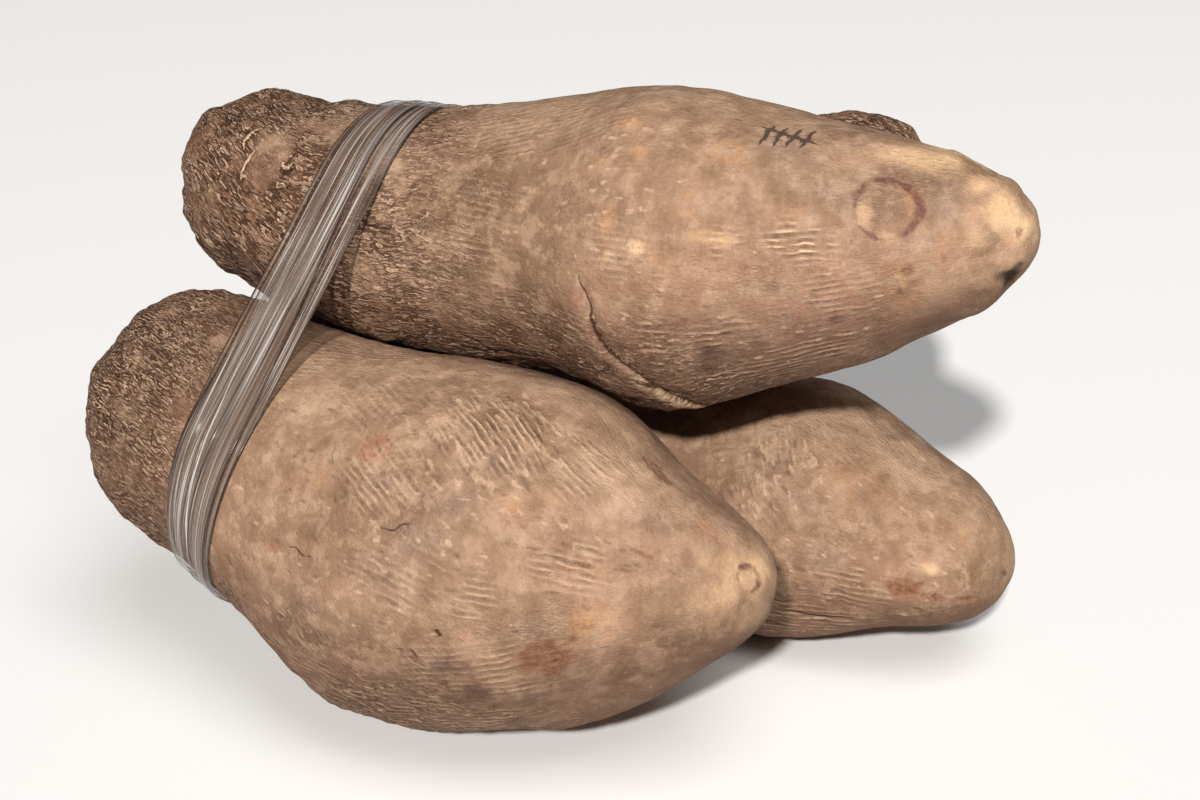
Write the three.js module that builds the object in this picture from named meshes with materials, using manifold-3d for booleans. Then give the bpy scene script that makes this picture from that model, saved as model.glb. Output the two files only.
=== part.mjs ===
// Four pona yams tied into one bundle with a band of clear stretch film round their crown ends.
// Two lie side by side on the surface, the other two lie on top of them.
// Millimetres, +Z up, +X towards the tips of the three yams that lie the same way.
// The origin is the bottom centre of the whole bundle.

import * as THREE from 'three';
import { mergeVertices } from 'three/addons/utils/BufferGeometryUtils.js';
import Module from 'manifold-3d';

const wasm = await Module();
wasm.setup();

// Driving dimensions

// Bottom centre of the bundle, in the coordinates of the spines below
const ORIGIN = new THREE.Vector3(-19.6, 28.4, -1);

// A yam is swept along its spine, from crown to tip.
// spine: five points at equal steps of its length
// girth: nine radii at equal steps, each end then rounded off over crownCap and tipCap
// lumps: [share of the length, turn round the spine in degrees, reach, height]
// uneven: where the slow waves of its surface start
const YAMS = {
  yam_upper: {
    spine: [[-175, 20, 163], [-100, 20, 154], [-18, 20, 162], [62, 20, 170], [143, 20, 187]],
    girth: [28, 37, 42.5, 44.5, 48, 55, 46.5, 31.5, 16],
    crownCap: 28,
    tipCap: 30,
    lumps: [
      [0.03, 63, 14, -2.5], [0.06, 243, 16, -2], [0.11, 63, 15, 3], [0.52, 63, 16, 1.5], [0.6, 243, 26, 2.5],
      [0.64, 63, 34, -2.5], [0.84, 243, 12, 2.5], [0.89, 243, 9, -3.5], [0.92, 63, 16, -2.5],
    ],
    uneven: 0.4,
    colour: 0x8f7660,
  },
  yam_lower_front: {
    spine: [[-182, -36, 98], [-125, -38, 84], [-58, -40, 64], [10, -42, 66], [82, -44, 73]],
    girth: [26, 43, 48, 55, 64, 65, 58, 36, 23],
    crownCap: 36,
    tipCap: 40,
    lumps: [
      [0.02, 63, 24, -5.5], [0.05, 243, 20, -4], [0.19, 63, 22, 4], [0.38, 243, 26, -1.5],
      [0.6, 63, 40, 2], [0.72, 243, 18, -2], [0.83, 243, 18, 4], [0.86, 63, 24, -4], [0.94, 243, 12, -2.5],
    ],
    uneven: 2.1,
    colour: 0x8a7058,
  },
  yam_lower_rear: {
    spine: [[-170, 54, 94], [-95, 66, 65], [-20, 74, 46], [60, 63, 47], [137, 60, 40]],
    girth: [31, 39, 42, 45, 47, 49, 48, 33.5, 21],
    crownCap: 30,
    tipCap: 34,
    lumps: [[0.4, 270, 32, 4.5], [0.72, 63, 22, 2], [0.9, 243, 22, -3.5], [0.97, 63, 18, -1]],
    uneven: 3.7,
    colour: 0x83694f,
  },
  yam_upper_rear: {
    spine: [[87, 117, 143.3], [40, 118.5, 139.7], [-24, 121, 129.5], [-86, 123, 123], [-142, 120, 120]],
    girth: [30, 41, 43.5, 43, 43, 41, 37.5, 31.5, 21],
    crownCap: 32,
    tipCap: 34,
    lumps: [[0.07, 117, 14, -2], [0.18, 117, 20, 3], [0.5, 290, 26, 2]],
    uneven: 5.2,
    colour: 0x7c644d,
  },
};
const RINGS = 40;
const SIDES = 36;
const WAVE_HEIGHT = 0.6;

// The film runs taut round all four yams, in a plane that leans towards the tips as it rises
const FILM = {
  through: [-106, 35, 110],
  lean: 0.23,
  width: 26,
  pinch: 5,
  pinchAt: 205,
  pinchReach: 22,
  thickness: 1.2,
  clearance: 0.9,
  lines: 4,
  steps: 90,
  colour: 0xb5aca2,
};

const rad = THREE.MathUtils.degToRad;

// Value of a smooth curve through equally spaced numbers, at a share of its length
function smooth(values, share) {
  const last = values.length - 1;
  const place = THREE.MathUtils.clamp(share * last, 0, last - 1e-9);
  const i = Math.floor(place);
  const f = place - i;
  const at = (k) => values[THREE.MathUtils.clamp(k, 0, last)];
  const [a, b, c, d] = [at(i - 1), at(i), at(i + 1), at(i + 2)];
  return 0.5 * (2 * b + (c - a) * f + (2 * a - 5 * b + 4 * c - d) * f ** 2 + (3 * b - a - 3 * c + d) * f ** 3);
}

// Slow waves that keep the swept shape from being too even
function waves(share, turn, start) {
  const slow = Math.sin(11 * share + 2 * turn + start);
  const cross = Math.sin(19 * share - 3 * turn + 2 * start);
  const fine = Math.sin(27 * share + 5 * turn + 3 * start);
  return WAVE_HEIGHT * (0.9 * slow + 0.6 * cross + 0.4 * fine);
}

// The straight line from crown to tip, and the two directions across it
function sweepAxes(yam) {
  const crown = new THREE.Vector3(...yam.spine[0]);
  const chord = new THREE.Vector3(...yam.spine.at(-1)).sub(crown);
  const length = chord.length();
  const along = chord.normalize();
  const side = new THREE.Vector3(0, 0, 1).cross(along).normalize();
  const up = along.clone().cross(side);
  return { length, side, up };
}

// Point of a yam's skin at a share of its length and a turn round its spine
function skinPoint(yam, axes, share, turn) {
  const full = smooth(yam.girth, share);
  const crown = Math.max(0, 1 - (share * axes.length) / yam.crownCap);
  const tip = Math.max(0, 1 - ((1 - share) * axes.length) / yam.tipCap);
  const rounding = Math.sqrt(Math.max(0, 1 - crown ** 2)) * Math.sqrt(Math.max(0, 1 - tip ** 2));
  let radius = full + waves(share, turn, yam.uneven);
  for (const [at, towards, reach, height] of yam.lumps) {
    const turned = Math.atan2(Math.sin(turn - rad(towards)), Math.cos(turn - rad(towards)));
    const away = ((share - at) * axes.length) ** 2 + (turned * full) ** 2;
    radius += height * Math.exp(-away / reach ** 2);
  }
  const [x, y, z] = [0, 1, 2].map((k) => smooth(yam.spine.map((point) => point[k]), share));
  return new THREE.Vector3(x, y, z)
    .addScaledVector(axes.side, radius * rounding * Math.cos(turn))
    .addScaledVector(axes.up, radius * rounding * Math.sin(turn));
}

// A shape's points joined where they meet, with nothing but their places kept
function joined(geometry) {
  geometry.deleteAttribute('normal');
  geometry.deleteAttribute('uv');
  return mergeVertices(geometry);
}

function toSolid(geometry) {
  return new wasm.Manifold(new wasm.Mesh({
    numProp: 3,
    vertProperties: new Float32Array(geometry.attributes.position.array),
    triVerts: new Uint32Array(geometry.index.array),
  }));
}

function fromSolid(solid) {
  const { vertProperties, triVerts } = solid.getMesh();
  const geometry = new THREE.BufferGeometry();
  geometry.setAttribute('position', new THREE.BufferAttribute(vertProperties, 3));
  geometry.setIndex(new THREE.BufferAttribute(triVerts, 1));
  return geometry;
}

// The sphere's poles become the crown and the tip
function yamGeometry(yam) {
  const axes = sweepAxes(yam);
  const geometry = joined(new THREE.SphereGeometry(1, SIDES, RINGS));
  const position = geometry.attributes.position;
  for (let i = 0; i < position.count; i++) {
    const share = (1 - position.getY(i)) / 2;
    const turn = Math.atan2(position.getZ(i), position.getX(i));
    position.setXYZ(i, ...skinPoint(yam, axes, share, turn));
  }
  return geometry;
}

// What would sink below the surface is cut off, which leaves a small flat spot to lie on
function restOnSurface(geometry) {
  const size = 600;
  const below = joined(new THREE.BoxGeometry(size, size, size));
  below.translate(0, 0, ORIGIN.z - size / 2);
  return fromSolid(toSolid(geometry).subtract(toSolid(below)));
}

// The film's plane: across the loop in two directions, and out of the loop along the yams
function filmAxes() {
  const out = new THREE.Vector3(1, 0, -FILM.lean).normalize();
  const level = new THREE.Vector3(0, 1, 0);
  const rise = out.clone().cross(level);
  return { out, level, rise, centre: new THREE.Vector3(...FILM.through) };
}

// Where a plane across the loop, at a distance from its middle, cuts the skin of all four yams
function cutPoints(axes, offset) {
  const shares = 120;
  const turns = 72;
  const cuts = [];
  const height = (point) => point.clone().sub(axes.centre).dot(axes.out) - offset;
  for (const yam of Object.values(YAMS)) {
    const sweep = sweepAxes(yam);
    for (let j = 0; j < turns; j++) {
      let before = skinPoint(yam, sweep, 0, (j / turns) * 2 * Math.PI);
      for (let i = 1; i <= shares; i++) {
        const after = skinPoint(yam, sweep, i / shares, (j / turns) * 2 * Math.PI);
        const [h0, h1] = [height(before), height(after)];
        if (h0 * h1 <= 0 && h0 !== h1) {
          const cut = before.clone().lerp(after, h0 / (h0 - h1)).sub(axes.centre);
          cuts.push(new THREE.Vector2(cut.dot(axes.level), cut.dot(axes.rise)));
        }
        before = after;
      }
    }
  }
  return cuts;
}

// Outline of a taut band round a set of points, anticlockwise
function taut(points) {
  const sorted = [...points].sort((p, q) => p.x - q.x || p.y - q.y);
  const half = (list) => {
    const chain = [];
    for (const p of list) {
      while (chain.length > 1) {
        const [a, b] = chain.slice(-2);
        if ((b.x - a.x) * (p.y - a.y) - (b.y - a.y) * (p.x - a.x) > 0) break;
        chain.pop();
      }
      chain.push(p);
    }
    return chain.slice(0, -1);
  };
  return [...half(sorted), ...half(sorted.reverse())];
}

// Distance from the loop's centre to its outline, in one direction
function reachOf(outline, turn) {
  const [dx, dy] = [Math.cos(turn), Math.sin(turn)];
  let reach = 0;
  outline.forEach((a, i) => {
    const b = outline[(i + 1) % outline.length];
    const [ex, ey] = [b.x - a.x, b.y - a.y];
    const across = dx * ey - dy * ex;
    const along = (a.x * ey - a.y * ex) / across;
    const share = (a.x * dy - a.y * dx) / across;
    if (along > 0 && share >= 0 && share <= 1) reach = Math.max(reach, along);
  });
  return reach;
}

// Half of the film's width, which is drawn in where it bridges the gap at the front
function halfWidth(turn) {
  const away = Math.atan2(Math.sin(turn - rad(FILM.pinchAt)), Math.cos(turn - rad(FILM.pinchAt)));
  return (FILM.width - FILM.pinch * Math.exp(-((away / rad(FILM.pinchReach)) ** 2))) / 2;
}

// A ring with a few lines along its inner face and as many along its outer face
function filmGeometry() {
  const axes = filmAxes();
  const { lines, steps, width, thickness, clearance } = FILM;
  const shareOf = (line) => (2 * line) / (lines - 1) - 1;
  const outlines = Array.from({ length: lines }, (_, line) => taut(cutPoints(axes, (shareOf(line) * width) / 2)));
  const geometry = new THREE.TorusGeometry(1, 0.5, 2 * lines, steps);
  const { position, uv } = geometry.attributes;
  for (let i = 0; i < position.count; i++) {
    const turn = uv.getX(i) * 2 * Math.PI;
    const corner = Math.round(uv.getY(i) * 2 * lines) % (2 * lines);
    const outer = corner < lines;
    const line = outer ? corner : 2 * lines - 1 - corner;
    const offset = shareOf(line) * halfWidth(turn);
    const reaches = outlines.map((outline) => reachOf(outline, turn));
    const reach = smooth(reaches, 0.5 + offset / width) + clearance + (outer ? thickness : 0);
    const point = axes.centre.clone()
      .addScaledVector(axes.out, offset)
      .addScaledVector(axes.level, reach * Math.cos(turn))
      .addScaledVector(axes.rise, reach * Math.sin(turn));
    position.setXYZ(i, ...point);
  }
  return joined(geometry);
}

function part(name, geometry, colour, roughness) {
  geometry.computeVertexNormals();
  const mesh = new THREE.Mesh(geometry, new THREE.MeshStandardMaterial({ color: colour, roughness, metalness: 0 }));
  mesh.name = name;
  return mesh;
}

const bundle = new THREE.Group();
bundle.position.copy(ORIGIN).negate();
for (const [name, yam] of Object.entries(YAMS)) {
  const skin = yamGeometry(yam);
  const lies = name.startsWith('yam_lower');
  bundle.add(part(name, lies ? restOnSurface(skin) : skin, yam.colour, 0.85));
}
bundle.add(part('film_band', filmGeometry(), FILM.colour, 0.25));

export default bundle;
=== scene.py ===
"""Looks for a bundle of four pona yams tied with clear stretch film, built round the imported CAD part."""

import math
import random
from collections import defaultdict

import bmesh
import bpy
import numpy as np
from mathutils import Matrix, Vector, geometry, kdtree, noise


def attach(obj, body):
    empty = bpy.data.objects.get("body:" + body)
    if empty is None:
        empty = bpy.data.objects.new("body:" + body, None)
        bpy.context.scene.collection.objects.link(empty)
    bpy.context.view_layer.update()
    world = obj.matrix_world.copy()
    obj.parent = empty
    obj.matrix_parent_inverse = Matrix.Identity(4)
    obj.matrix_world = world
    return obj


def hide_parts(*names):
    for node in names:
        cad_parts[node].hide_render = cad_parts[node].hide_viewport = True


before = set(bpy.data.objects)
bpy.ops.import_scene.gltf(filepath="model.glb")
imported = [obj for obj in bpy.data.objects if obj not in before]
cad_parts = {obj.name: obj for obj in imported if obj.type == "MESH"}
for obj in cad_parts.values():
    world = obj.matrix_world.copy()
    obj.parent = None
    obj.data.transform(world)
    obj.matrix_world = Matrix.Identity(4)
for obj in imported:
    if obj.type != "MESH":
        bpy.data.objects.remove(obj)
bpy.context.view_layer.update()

# Millimetres, in the coordinates of the yams' spines, until a piece is finished
MM = 0.001
ORIGIN = np.array((-19.6, 28.4, -1.0))
FLOOR = ORIGIN[2]
# A distance from a mark at which nothing of it shows
FAR = 9.0
# A share, or a distance in metres, too small to matter
TINY = 1e-6

# The same driving dimensions as the solids have, and then how the skin goes.
# Places on a skin are millimetres from the crown and degrees round the spine:
# 90 is the top, and 180 the front, or the back where a yam lies the other way round.
# swirl: how far the grain turns round the yam by each fifth of its length, in degrees
# rough: millimetres of coarse bark from the crown, then millimetres over which it fades
# cream: millimetres of pale young skin at the tip, then millimetres over which it fades
# stem: the place where the stem came off
# fineness: how much finer the grain is than on the other yams
YAMS = {
    "yam_upper": dict(
        spine=[(-175, 20, 163), (-100, 20, 154), (-18, 20, 162), (62, 20, 170), (143, 20, 187)],
        girth=[28, 37, 42.5, 44.5, 48, 55, 46.5, 31.5, 16],
        crown_cap=28,
        tip_cap=30,
        lumps=[
            (0.03, 63, 14, -2.5), (0.06, 243, 16, -2), (0.11, 63, 15, 3), (0.52, 63, 16, 1.5),
            (0.6, 243, 26, 2.5), (0.64, 63, 34, -2.5), (0.84, 243, 12, 2.5), (0.89, 243, 9, -3.5),
            (0.92, 63, 16, -2.5),
        ],
        uneven=0.4,
        swirl=[-50, 0, 10, 20, 24, 24],
        rough=(70, 90),
        cream=(6, 38),
        stem=(57, 132),
    ),
    "yam_lower_front": dict(
        spine=[(-182, -36, 98), (-125, -38, 84), (-58, -40, 64), (10, -42, 66), (82, -44, 73)],
        girth=[26, 43, 48, 55, 64, 65, 58, 36, 23],
        crown_cap=36,
        tip_cap=40,
        lumps=[
            (0.02, 63, 24, -5.5), (0.05, 243, 20, -4), (0.19, 63, 22, 4), (0.38, 243, 26, -1.5),
            (0.6, 63, 40, 2), (0.72, 243, 18, -2), (0.83, 243, 18, 4), (0.86, 63, 24, -4),
            (0.94, 243, 12, -2.5),
        ],
        uneven=2.1,
        swirl=[0, 8, 20, 48, 72, 60],
        rough=(38, 50),
        cream=(0, 34),
        fineness=1.3,
    ),
    "yam_lower_rear": dict(
        spine=[(-170, 54, 94), (-95, 66, 65), (-20, 74, 46), (60, 63, 47), (137, 60, 40)],
        girth=[31, 39, 42, 45, 47, 49, 48, 33.5, 21],
        crown_cap=30,
        tip_cap=34,
        lumps=[(0.4, 270, 32, 4.5), (0.72, 63, 22, 2), (0.9, 243, 22, -3.5), (0.97, 63, 18, -1)],
        uneven=3.7,
        swirl=[0, 10, 20, 34, 50, 58],
        rough=(70, 90),
        cream=(0, 30),
    ),
    "yam_upper_rear": dict(
        spine=[(87, 117, 143.3), (40, 118.5, 139.7), (-24, 121, 129.5), (-86, 123, 123), (-142, 120, 120)],
        girth=[30, 41, 43.5, 43, 43, 41, 37.5, 31.5, 21],
        crown_cap=32,
        tip_cap=34,
        lumps=[(0.07, 117, 14, -2), (0.18, 117, 20, 3), (0.5, 290, 26, 2)],
        uneven=5.2,
        swirl=[0, 12, 30, 40, 52, 60],
        rough=(85, 80),
        cream=(6, 24),
    ),
}
# How high the waves are that every yam has
WAVE_HEIGHT = 0.6
# Faces of a skin round the yam and along it
ROUND = 280
LONG = 330

# The film runs taut round all four yams, in a plane that leans towards the tips as it rises.
# Its width lessens by pinch near pinch_at degrees round the loop, it stands off the yams by gap,
# and it is clearest near clear_at. Each reach is in degrees.
FILM = dict(through=(-106, 35, 110), lean=0.23, width=26, pinch=5, pinch_at=205, pinch_reach=22, gap=1.1,
            clear_at=216, clear_reach=20)
# The film's wall thickness, and how far the second turn stands over the first
FILM_WALL = 0.12
SECOND_TURN_LIFT = 0.9
# Faces of a turn round the loop and across it, and how many planes across the band are made taut
FILM_STEPS = 380
FILM_LINES = 60
FILM_LEVELS = 7
# The way across the band, towards the tips
FILM_OUT = np.array((1, 0, -FILM["lean"])) / math.hypot(1, FILM["lean"])

# Up to the first distance from the film's middle the relief is low, and past the second it is whole
LOW_BY_FILM = (13, 22)

# Heights and depths of the relief, in millimetres
ROW_HEIGHT = 0.13
FLECK_DEPTH = 0.25
CHIP_HEIGHT = 0.2
SCAR_DEPTH = 0.35
RING_DEPTH = 0.5
STEM_DEPTH = 0.5
CURL_HEIGHT = 0.3
CREASE_DEPTH = 0.6
NOTCH_DEPTH = 2.6
LIP_HEIGHT = 1.2
CLEFT_DEPTH = 0.7

# The camera's azimuth, elevation and distance in metres, what it looks at, and its lens and sensor
VIEW = (25, 25, 0.7)
AIM = (0, 0, 110)
LENS = 60
SENSOR = 36
# Half the side of the floor, in metres
FLOOR_HALF = 6


def grid_mesh(name, across, along, half=1):
    """A flat grid to shape, from -half to half both ways."""
    mesh = bpy.data.meshes.new(name)
    sheet = bmesh.new()
    bmesh.ops.create_grid(sheet, x_segments=across, y_segments=along, size=half)
    sheet.to_mesh(mesh)
    sheet.free()
    return mesh


def places_of(mesh):
    """Where a mesh's vertices are, one row each."""
    places = np.empty(len(mesh.vertices) * 3)
    mesh.vertices.foreach_get("co", places)
    return places.reshape(-1, 3)


def keep(mesh, name, values):
    """Stores one value a vertex, or three, for the material to read."""
    kind, field = ("FLOAT", "value") if values.ndim == 1 else ("FLOAT_VECTOR", "vector")
    mesh.attributes.new(name, kind, "POINT").data.foreach_set(field, values.ravel())


def shown(name, data):
    """A new object in the scene, with a mesh, a camera or a light as its data."""
    thing = bpy.data.objects.new(name, data)
    bpy.context.collection.objects.link(thing)
    return thing


def smooth(values, share):
    """Value of a smooth curve through equally spaced numbers, at shares of its length."""
    values = np.asarray(values, float)
    last = len(values) - 1
    place = np.clip(np.asarray(share) * last, 0, last - 1e-9)
    index = place.astype(int)
    on = place - index
    # The number before each place, the two round it and the one after
    a, b, c, d = (values[np.clip(index + step, 0, last)] for step in (-1, 0, 1, 2))
    cubic = (3 * b - a - 3 * c + d) * on**3
    return 0.5 * (2 * b + (c - a) * on + (2 * a - 5 * b + 4 * c - d) * on**2 + cubic)


def fade(values, full, gone):
    """1 up to full, 0 past gone, smooth between."""
    part = np.clip((gone - values) / (gone - full), 0, 1)
    return part * part * (3 - 2 * part)


def unit(vectors):
    return vectors / np.linalg.norm(vectors, axis=-1, keepdims=True)


def turned_from(turn, degrees):
    """How far a turn is from a number of degrees, in radians, the short way round."""
    return np.angle(np.exp(1j * (turn - math.radians(degrees))))


def sweep_axes(yam):
    """Length from crown to tip, and the directions along, to the side and up."""
    crown, tip = np.array(yam["spine"][0], float), np.array(yam["spine"][-1], float)
    length = np.linalg.norm(tip - crown)
    along = (tip - crown) / length
    side = unit(np.cross((0, 0, 1), along))
    return length, along, side, np.cross(along, side)


def rounding(yam, share, length):
    """How the two ends round off, as a share of the girth."""
    crown = np.clip(1 - share * length / yam["crown_cap"], 0, 1)
    tip = np.clip(1 - (1 - share) * length / yam["tip_cap"], 0, 1)
    return np.sqrt(1 - crown**2) * np.sqrt(1 - tip**2)


def skin_points(yam, share, turn):
    """Points of a yam's plain skin, as the solid has it."""
    length, _, side, up = sweep_axes(yam)
    full = smooth(yam["girth"], share)
    start = yam["uneven"]
    waves = 0.9 * np.sin(11 * share + 2 * turn + start) + 0.6 * np.sin(19 * share - 3 * turn + 2 * start)
    radius = full + WAVE_HEIGHT * (waves + 0.4 * np.sin(27 * share + 5 * turn + 3 * start))
    for at, towards, reach, height in yam["lumps"]:
        away = ((share - at) * length) ** 2 + (turned_from(turn, towards) * full) ** 2
        radius = radius + height * np.exp(-away / reach**2)
    radius = radius * rounding(yam, share, length)
    spine = np.array(yam["spine"], float)
    middle = np.stack([smooth(spine[:, k], share) for k in range(3)], -1)
    return middle + radius[..., None] * (np.cos(turn)[..., None] * side + np.sin(turn)[..., None] * up)


def even_shares(yam, steps):
    """Shares of the length that are evenly spaced along the skin itself."""
    length = sweep_axes(yam)[0]
    share = (1 - np.cos(np.linspace(0, math.pi, 3000))) / 2
    radius = smooth(yam["girth"], share) * rounding(yam, share, length)
    walked = np.concatenate(([0], np.cumsum(np.hypot(np.diff(share) * length, np.diff(radius)))))
    return np.interp(steps, walked / walked[-1], share)


class Skin:
    """The skin of one yam, while its relief and marks are worked out."""

    def __init__(self, name):
        self.name = name
        self.yam = yam = YAMS[name]
        self.mesh = grid_mesh(name + "_skin", ROUND, LONG)
        across, steps, _ = places_of(self.mesh).T
        self.length, along, _, _ = sweep_axes(yam)
        self.turn = (across + 1) * math.pi
        self.share = even_shares(yam, (steps + 1) / 2)
        self.poles = np.abs(steps) > 1 - TINY
        self.share[self.poles] = np.round(self.share[self.poles])
        self.mm = self.share * self.length
        self.points = skin_points(yam, self.share, self.turn)
        inner = np.clip(self.share, 0.001, 0.999)
        around = skin_points(yam, inner, self.turn + 0.01) - skin_points(yam, inner, self.turn - 0.01)
        onward = skin_points(yam, inner + 5e-4, self.turn) - skin_points(yam, inner - 5e-4, self.turn)
        self.normals = unit(np.cross(around, onward))
        self.normals[self.poles] = np.sign(steps[self.poles])[:, None] * along
        self.height = np.zeros(len(self.points))
        self.tree = kdtree.KDTree(len(self.points))
        for index, point in enumerate(self.points.tolist()):
            self.tree.insert(point, index)
        self.tree.balance()

    def near(self, places, reach):
        """Which points of the skin lie within reach of some places."""
        found = {index for place in places for _, index, _ in self.tree.find_range(place, reach)}
        return np.array(sorted(found), int)

    def tangent(self, mm, degrees, slant=0.0):
        """A place, and the ways along and across the skin there, slanted towards larger degrees."""
        share = np.array([mm, mm + 0.5, mm]) / self.length
        turn = np.radians([degrees, degrees, degrees + 0.5])
        here, onward, around = skin_points(self.yam, share, turn)
        along = unit(onward - here)
        out = unit(np.cross(around - here, along))
        across = np.cross(along, out)
        most, rest = math.cos(math.radians(slant)), math.sin(math.radians(slant))
        return here, most * along + rest * across, most * across - rest * along

    def seen_from(self, mm, degrees, reach, slant=0.0):
        """Points on this side within reach of a place, and their distances along and across there."""
        here, along, across = self.tangent(mm, degrees, slant)
        near = self.near([here], reach)
        facing = self.normals[near] @ np.cross(across, along)
        near, facing = near[facing > 0.05], facing[facing > 0.05]
        away = (self.points[near] - here) / np.sqrt(facing)[:, None]
        return near, away @ along, away @ across

    def oval(self, mm, degrees, half_long, half_wide, slant=0.0, wobble=0.0):
        """Distance from an oval's middle, 1 on its edge, for the whole skin."""
        near, x, y = self.seen_from(mm, degrees, 3 * max(half_long, half_wide) + 3, slant)
        away = np.full(len(self.points), FAR)
        away[near] = np.hypot(x / half_long, y / half_wide)
        if wobble:
            away[near] *= 1 + wobble * self.lumps(near, 1.2 * min(half_long, half_wide), 2, mm)
        return away

    def blots(self, spots):
        """Soft spots: (mm, degrees, half length, half width, strength)."""
        value = np.zeros(len(self.points))
        for mm, degrees, half_long, half_wide, strength in spots:
            value = np.maximum(value, strength * np.exp(-(self.oval(mm, degrees, half_long, half_wide) ** 2)))
        return value

    def trail(self, places, wander=0.0, seed=0, reach=9.0):
        """Distance from a line through places, and how far along it, 0 to 1.

        The distance is positive on the tip's side of a line that goes towards larger degrees.
        """
        steps = np.linspace(0, 1, 60)
        mm = smooth([p[0] for p in places], steps)
        degrees = smooth([p[1] for p in places], steps)
        if wander:
            mm = mm + wander * np.array([noise.noise((seed, 9 * k, 0.3)) for k in steps])
        line = skin_points(self.yam, mm / self.length, np.radians(degrees))
        near = self.near(line[::2], reach)
        points, best = self.points[near], np.full(len(near), 1e3)
        along, side = np.zeros(len(near)), np.ones(len(near))
        for k in range(len(line) - 1):
            step = line[k + 1] - line[k]
            part = np.clip((points - line[k]) @ step / (step @ step), 0, 1)
            off = points - line[k] - part[:, None] * step
            gap = np.linalg.norm(off, axis=1)
            closer = gap < best
            best = np.where(closer, gap, best)
            along = np.where(closer, (k + part) / (len(line) - 1), along)
            side = np.where(closer, np.sign((off * np.cross(self.normals[near], step)).sum(1)), side)
        gaps, shares = np.full(len(self.points), FAR), np.zeros(len(self.points))
        gaps[near], shares[near] = best * np.where(side < 0, -1, 1), along
        return gaps, shares

    def drawn(self, lines, wander=0.0):
        """The nearest of many lines: distance with its side, distance without, and half width.

        A line is (places, half width), or (places, half width, depth) where it is sunk in.
        """
        best = np.full(len(self.points), FAR)
        nearest = np.full((len(self.points), 3), (FAR, FAR, 0.0))
        for seed, (places, half_width, *sunk) in enumerate(lines):
            gap, on = self.trail(places, wander, seed + 1)
            taper = np.sin(math.pi * np.clip(on, 0.02, 0.98)) ** 0.6
            if sunk:
                self.height -= sunk[0] * taper * np.exp(-((gap / (half_width + 0.8)) ** 2))
            edge = np.abs(gap) - half_width * taper
            this = np.stack([gap, np.abs(gap), half_width * taper], 1)
            nearest = np.where((edge < best)[:, None], this, nearest)
            best = np.minimum(best, edge)
        return nearest

    def lumps(self, which, size, octaves, seed):
        """Noise in the solid, from about -1 to 1, with lumps of a size, at some of the points."""
        places = (self.points[which] / size + seed).tolist()
        return np.array([noise.fractal(place, 1.0, 2.0, octaves) for place in places])

    def grain(self, size, seed):
        """The same at every point."""
        return self.lumps(slice(None), size, 2, seed)

    def strokes(self, fields, seed):
        """Distance from the edge of the nearest of many short strokes, negative inside one.

        A field is (mm, degrees, half length, half width, how many, stroke lengths, stroke width, slant).
        """
        pick = random.Random(seed)
        edge = np.full(len(self.points), FAR)
        for mm, degrees, half_long, half_wide, count, lengths, width, slant in fields:
            girth = float(smooth(self.yam["girth"], mm / self.length))
            for _ in range(count):
                out, way = math.sqrt(pick.random()), pick.uniform(0, 2 * math.pi)
                on, off = half_long * out * math.cos(way), half_wide * out * math.sin(way)
                half, wide = pick.uniform(*lengths) / 2, width * pick.uniform(0.6, 1.3) / 2
                turned, bend = slant + pick.gauss(0, 7), pick.uniform(-0.05, 0.05)
                at = min(max(mm + on, 3), self.length - 3)
                near, x, y = self.seen_from(at, degrees + math.degrees(off / girth), half + 3, turned)
                y = y - bend * x**2
                body = wide * np.sqrt(np.clip(1 - (x / half) ** 2, 0, 1))
                gap = np.where(np.abs(x) < half, np.abs(y) - body, np.hypot(np.abs(x) - half, y))
                edge[near] = np.minimum(edge[near], gap)
        return edge

    def rows(self, fields, seed):
        """How far parallel ridges show in some fields, broken up along each ridge, and their phase.

        A field is (mm, degrees, half length, half width, slant of the ridges, pitch, strength).
        """
        show, phase, taken = (np.zeros(len(self.points)) for _ in range(3))
        for index, (mm, degrees, half_long, half_wide, slant, pitch, strength) in enumerate(fields):
            reach = 2 * max(half_long, half_wide)
            near, on, off = self.seen_from(mm, degrees, reach)
            _, x, y = self.seen_from(mm, degrees, reach, slant)
            edge = np.hypot(on / half_long, off / half_wide) * (1 + 0.35 * self.lumps(near, 10, 2, seed))
            envelope = fade(edge, 0.35, 1.35)
            places = np.stack([x, y, np.full(len(x), seed + 7.7 * index)], 1)
            broken = np.array([noise.noise(place) for place in (places / (5.5, 2.4, 1)).tolist()])
            broken += 0.8 * self.lumps(near, 7, 1, seed + 3.3)
            bend = np.array([noise.fractal(place, 1.0, 2.0, 2) for place in (places / (9, 6, 1)).tolist()])
            first = envelope > taken[near]
            here = strength * np.clip(1.6 * (envelope - taken[near]), 0, 1)
            here *= np.clip(0.6 + 1.9 * broken, 0, 1)
            show[near] = np.where(first, here, np.clip(taken[near] - envelope, 0, 1) * show[near])
            phase[near] = np.where(first, 2 * math.pi * (y + 0.8 * bend) / pitch, phase[near])
            taken[near] = np.maximum(taken[near], envelope)
        return show, phase

    def bark_coordinates(self):
        """Place in the grain: along the yam and round a plain cylinder, drawn in at the ends and swirled."""
        around = self.turn - np.radians(smooth(self.yam["swirl"], self.share))
        radius = np.mean(self.yam["girth"]) * rounding(self.yam, self.share, self.length)
        grain = np.stack([self.mm, radius * np.cos(around), radius * np.sin(around)], 1)
        return grain * self.yam.get("fineness", 1)

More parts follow.
